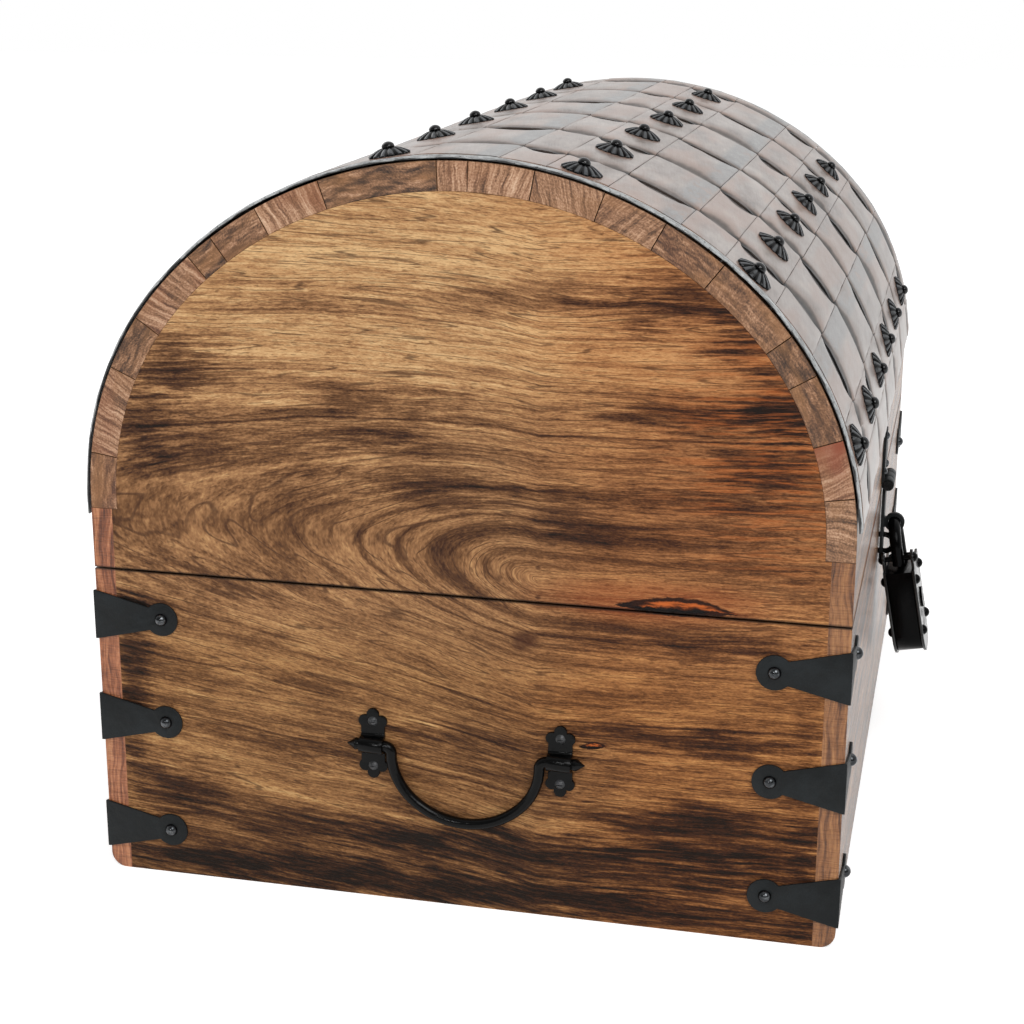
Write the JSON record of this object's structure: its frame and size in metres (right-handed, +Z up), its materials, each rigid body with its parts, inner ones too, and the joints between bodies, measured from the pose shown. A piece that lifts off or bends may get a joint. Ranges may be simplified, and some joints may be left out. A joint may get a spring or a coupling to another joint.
{
  "type": "treasure chest box",
  "caption": "Domed wooden treasure chest with a woven leather cover on its hinged lid, iron corner straps, swinging bail handles, and a hasp with a hanging padlock.",
  "frame": {"origin": "middle of the underside, on the surface that the chest stands on", "axes": "+X along the chest, to the right seen from the front; -Y the front with the hasp; +Z up"},
  "size_m": [0.5054, 0.4193, 0.3825],
  "materials": {
    "panel_wood": "lacquered",
    "board_wood": "lacquered",
    "stave_wood": "lacquered end grain",
    "cover_leather": "glossy waxed",
    "band_leather": "glossy waxed",
    "stud_iron": "black satin",
    "black_iron": "black satin",
    "lock_iron": "black satin"
  },
  "bodies": {
    "base": {"base_front_board": "board_wood", "base_back_board": "board_wood", "base_left_end_panel": "panel_wood", "base_right_end_panel": "panel_wood", "bottom_board": "board_wood", "front_left_corner_straps": "black_iron", "front_right_corner_straps": "black_iron", "back_left_corner_straps": "black_iron", "back_right_corner_straps": "black_iron", "corner_strap_nails": "stud_iron", "left_handle_first_bracket": "black_iron", "left_handle_second_bracket": "black_iron", "left_handle_screws": "stud_iron", "right_handle_first_bracket": "black_iron", "right_handle_second_bracket": "black_iron", "right_handle_screws": "stud_iron", "left_hinge_base_leaf": "black_iron", "right_hinge_base_leaf": "black_iron", "left_hinge_pin": "black_iron", "right_hinge_pin": "black_iron", "hinge_base_nails": "stud_iron", "staple": "black_iron"},
    "lid": {"lid_left_end_panel": "panel_wood", "lid_right_end_panel": "panel_wood", "lid_front_rail": "board_wood", "lid_back_rail": "board_wood", "back_shoulder_staves": "stave_wood", "crown_staves": "stave_wood", "front_shoulder_staves": "stave_wood", "woven_hoops": "cover_leather", "woven_slats": "cover_leather", "left_edge_band": "band_leather", "right_edge_band": "band_leather", "petal_washers": "stud_iron", "stud_nails": "stud_iron", "left_hinge_lid_leaf": "black_iron", "right_hinge_lid_leaf": "black_iron", "hinge_lid_nails": "stud_iron", "hasp_leaf": "black_iron", "hasp_leaf_nails": "stud_iron", "hasp_pin": "black_iron"},
    "left_handle": {"left_handle_bail": "black_iron"},
    "right_handle": {"right_handle_bail": "black_iron"},
    "hasp": {"hasp_strap": "black_iron"},
    "padlock_shackle": {"padlock_shackle": "lock_iron"},
    "padlock_case": {"padlock_front_plate": "lock_iron", "padlock_back_plate": "lock_iron", "padlock_case_band": "lock_iron", "padlock_rivets": "lock_iron", "padlock_pivot_rivet": "lock_iron", "padlock_key_plate": "lock_iron"}
  },
  "joints": [
    {"name": "lid_hinge", "type": "hinge", "parent": "base", "child": "lid", "pos_m": [0, 0.1938, 0.1665], "axis": [-1, 0, 0], "range_deg": [0, 105]},
    {"name": "left_handle_swing", "type": "hinge", "parent": "base", "child": "left_handle", "pos_m": [-0.24835, -0.0043, 0.08535], "axis": [0, 1, 0], "range_deg": [0, 170]},
    {"name": "right_handle_swing", "type": "hinge", "parent": "base", "child": "right_handle", "pos_m": [0.24835, 0.0043, 0.08535], "axis": [0, -1, 0], "range_deg": [0, 170]},
    {"name": "hasp_hinge", "type": "hinge", "parent": "lid", "child": "hasp", "pos_m": [0, -0.1938, 0.172], "axis": [-1, 0, 0], "range_deg": [0, 110]},
    {"name": "padlock_swing", "type": "hinge", "parent": "hasp", "child": "padlock_shackle", "pos_m": [0, -0.1985, 0.1465], "axis": [-1, 0, 0], "range_deg": [0, 45]},
    {"name": "padlock_open", "type": "hinge", "parent": "padlock_shackle", "child": "padlock_case", "pos_m": [-0.0125, -0.20203, 0.12834], "axis": [0, 0.9816, -0.1908], "range_deg": [0, 45]}
  ]
}
